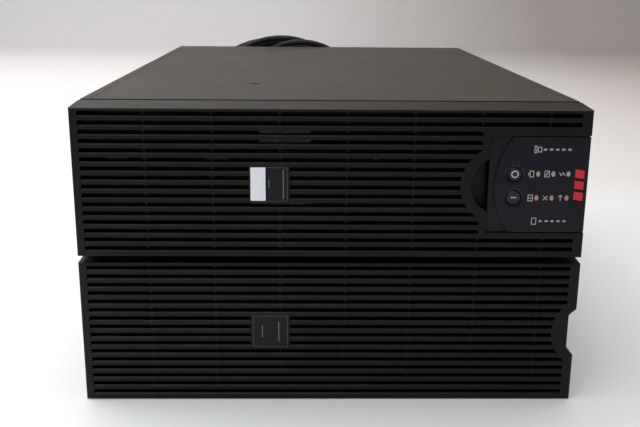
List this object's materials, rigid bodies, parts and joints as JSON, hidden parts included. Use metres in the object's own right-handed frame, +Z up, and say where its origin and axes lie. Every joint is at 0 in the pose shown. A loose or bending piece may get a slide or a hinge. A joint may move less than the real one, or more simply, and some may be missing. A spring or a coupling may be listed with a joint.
{
  "type": "rackmount ups",
  "caption": "Rack-mount uninterruptible power supply on a matching battery pack, with louvred pull-off bezels, a pull-out display, sliding battery trays, rear fans and a coiled mains cord.",
  "frame": {"origin": "on the floor, below the middle of the two cases' box, from the bezel faces to the furthest rear knob", "axes": "+X to the right seen from the front, +Y towards the rear panel, +Z up"},
  "size_m": [0.432, 0.7914, 0.2829],
  "materials": {
    "bezel_black": "moulded, fine matt texture",
    "display_black": "moulded, satin",
    "case_paint": "fine-texture satin powder coat, dark warm grey",
    "rear_paint": "fine-texture satin powder coat, near black",
    "zinc_sheet": "galvanised sheet",
    "screw_steel": "zinc plated, dull",
    "black_screw": "black oxide",
    "battery_case": "moulded",
    "circuit_board": "solder resist",
    "sink_aluminium": "extruded",
    "can_sleeve": "shrink sleeve",
    "copper_winding": "enamelled winding",
    "socket_black": "moulded",
    "button_grey": "moulded, satin",
    "button_red": "moulded",
    "lamp_clear": "translucent light pipe",
    "emblem_red": "printed inlay",
    "badge_black": "film label",
    "label_white": "paper sticker",
    "pad_rubber": "moulded",
    "cord_rubber": "round sheath",
    "tie_fabric": "hook-and-loop band",
    "port_metal": "tinned"
  },
  "bodies": {
    "cases": {"ups_chassis": "case_paint", "pack_chassis": "case_paint", "ups_top_cover": "case_paint", "pack_top_cover": "case_paint", "case_screws": "black_screw", "ups_rear_panel": "rear_paint", "pack_rear_panel": "rear_paint", "stacking_pads": "pad_rubber", "power_board": "circuit_board", "heat_sinks": "sink_aluminium", "capacitors": "can_sleeve", "inductors": "copper_winding", "logic_board": "circuit_board", "fan_frames": "socket_black", "fan_screws": "black_screw", "small_outlets": "socket_black", "large_outlets": "socket_black", "mains_inlet": "socket_black", "breaker_bodies": "socket_black", "serial_port": "port_metal", "emergency_off_terminal": "socket_black", "ups_battery_socket": "socket_black", "pack_battery_sockets": "socket_black", "pack_breaker_body": "socket_black", "mains_connector": "cord_rubber", "mains_cord": "cord_rubber", "mains_cord_coil": "cord_rubber", "cord_tie": "tie_fabric", "mains_plug": "cord_rubber"},
    "ups_bezel": {"ups_bezel": "bezel_black", "ups_badge": "badge_black", "ups_sticker": "label_white"},
    "display": {"display_housing": "display_black", "display_board": "circuit_board", "status_lamps": "lamp_clear", "bar_lamps": "lamp_clear", "emblem_inlay": "emblem_red"},
    "off_button": {"off_button": "button_grey"},
    "on_button": {"on_button": "button_grey"},
    "ups_battery_door": {"ups_battery_door": "case_paint", "ups_door_screws": "screw_steel"},
    "ups_module_left": {"ups_tray_left": "zinc_sheet", "ups_blocks_left": "battery_case"},
    "ups_module_right": {"ups_tray_right": "zinc_sheet", "ups_blocks_right": "battery_case"},
    "pack_bezel": {"pack_bezel": "bezel_black", "pack_badge": "badge_black"},
    "pack_battery_door": {"pack_battery_door": "case_paint", "pack_door_screws": "screw_steel"},
    "pack_module_left": {"pack_tray_left": "zinc_sheet", "pack_blocks_left": "battery_case"},
    "pack_module_right": {"pack_tray_right": "zinc_sheet", "pack_blocks_right": "battery_case"},
    "fan_rotor_left": {"fan_rotor_left": "socket_black"},
    "fan_rotor_right": {"fan_rotor_right": "socket_black"},
    "network_card": {"network_card": "rear_paint", "card_screws": "screw_steel"},
    "breaker_button_upper": {"breaker_button_upper": "button_red"},
    "breaker_button_lower": {"breaker_button_lower": "button_red"},
    "pack_breaker_toggle": {"pack_breaker_toggle": "button_grey"}
  },
  "joints": [
    {"name": "ups_module_left_slide", "type": "slide", "parent": "cases", "child": "ups_module_left", "axis": [0, -1, 0], "range_m": [0, 0.4]},
    {"name": "ups_module_right_slide", "type": "slide", "parent": "cases", "child": "ups_module_right", "axis": [0, -1, 0], "range_m": [0, 0.4]},
    {"name": "ups_battery_door_slide", "type": "slide", "parent": "cases", "child": "ups_battery_door", "axis": [0, -1, 0], "range_m": [0, 0.46]},
    {"name": "ups_bezel_slide", "type": "slide", "parent": "cases", "child": "ups_bezel", "axis": [0, -1, 0], "range_m": [0, 0.52]},
    {"name": "pack_module_left_slide", "type": "slide", "parent": "cases", "child": "pack_module_left", "axis": [0, -1, 0], "range_m": [0, 0.6]},
    {"name": "pack_module_right_slide", "type": "slide", "parent": "cases", "child": "pack_module_right", "axis": [0, -1, 0], "range_m": [0, 0.6]},
    {"name": "pack_battery_door_slide", "type": "slide", "parent": "cases", "child": "pack_battery_door", "axis": [0, -1, 0], "range_m": [0, 0.69]},
    {"name": "pack_bezel_slide", "type": "slide", "parent": "cases", "child": "pack_bezel", "axis": [0, -1, 0], "range_m": [0, 0.78]},
    {"name": "display_pull_out", "type": "slide", "parent": "ups_bezel", "child": "display", "axis": [0, -1, 0], "range_m": [0, 0.034]},
    {"name": "off_button_press", "type": "slide", "parent": "display", "child": "off_button", "axis": [0, 1, 0], "range_m": [0, 0.0012], "stiffness_N_per_m": 900, "springref_m": -0.0006},
    {"name": "on_button_press", "type": "slide", "parent": "display", "child": "on_button", "axis": [0, 1, 0], "range_m": [0, 0.0012], "stiffness_N_per_m": 900, "springref_m": -0.0006},
    {"name": "network_card_slide", "type": "slide", "parent": "cases", "child": "network_card", "axis": [0, 1, 0], "range_m": [0, 0.13]},
    {"name": "breaker_reset_upper", "type": "slide", "parent": "cases", "child": "breaker_button_upper", "axis": [0, 1, 0], "range_m": [0, 0.004]},
    {"name": "breaker_reset_lower", "type": "slide", "parent": "cases", "child": "breaker_button_lower", "axis": [0, 1, 0], "range_m": [0, 0.004]},
    {"name": "fan_spin_left", "type": "hinge", "parent": "cases", "child": "fan_rotor_left", "pos_m": [-0.162, 0.306, 0.196], "axis": [0, 1, 0], "continuous": true},
    {"name": "fan_spin_right", "type": "hinge", "parent": "cases", "child": "fan_rotor_right", "pos_m": [-0.062, 0.306, 0.196], "axis": [0, 1, 0], "continuous": true},
    {"name": "pack_breaker_flip", "type": "hinge", "parent": "cases", "child": "pack_breaker_toggle", "pos_m": [0.064, 0.318, 0.072], "axis": [-1, 0, 0], "range_deg": [0, 40]}
  ],
  "couplings": [
    {"joint": "ups_module_right_slide", "follows": "ups_module_left_slide", "ratio": 1},
    {"joint": "ups_battery_door_slide", "follows": "ups_module_left_slide", "ratio": 1.15},
    {"joint": "ups_bezel_slide", "follows": "ups_module_left_slide", "ratio": 1.3},
    {"joint": "pack_module_right_slide", "follows": "pack_module_left_slide", "ratio": 1},
    {"joint": "pack_battery_door_slide", "follows": "pack_module_left_slide", "ratio": 1.15},
    {"joint": "pack_bezel_slide", "follows": "pack_module_left_slide", "ratio": 1.3}
  ]
}
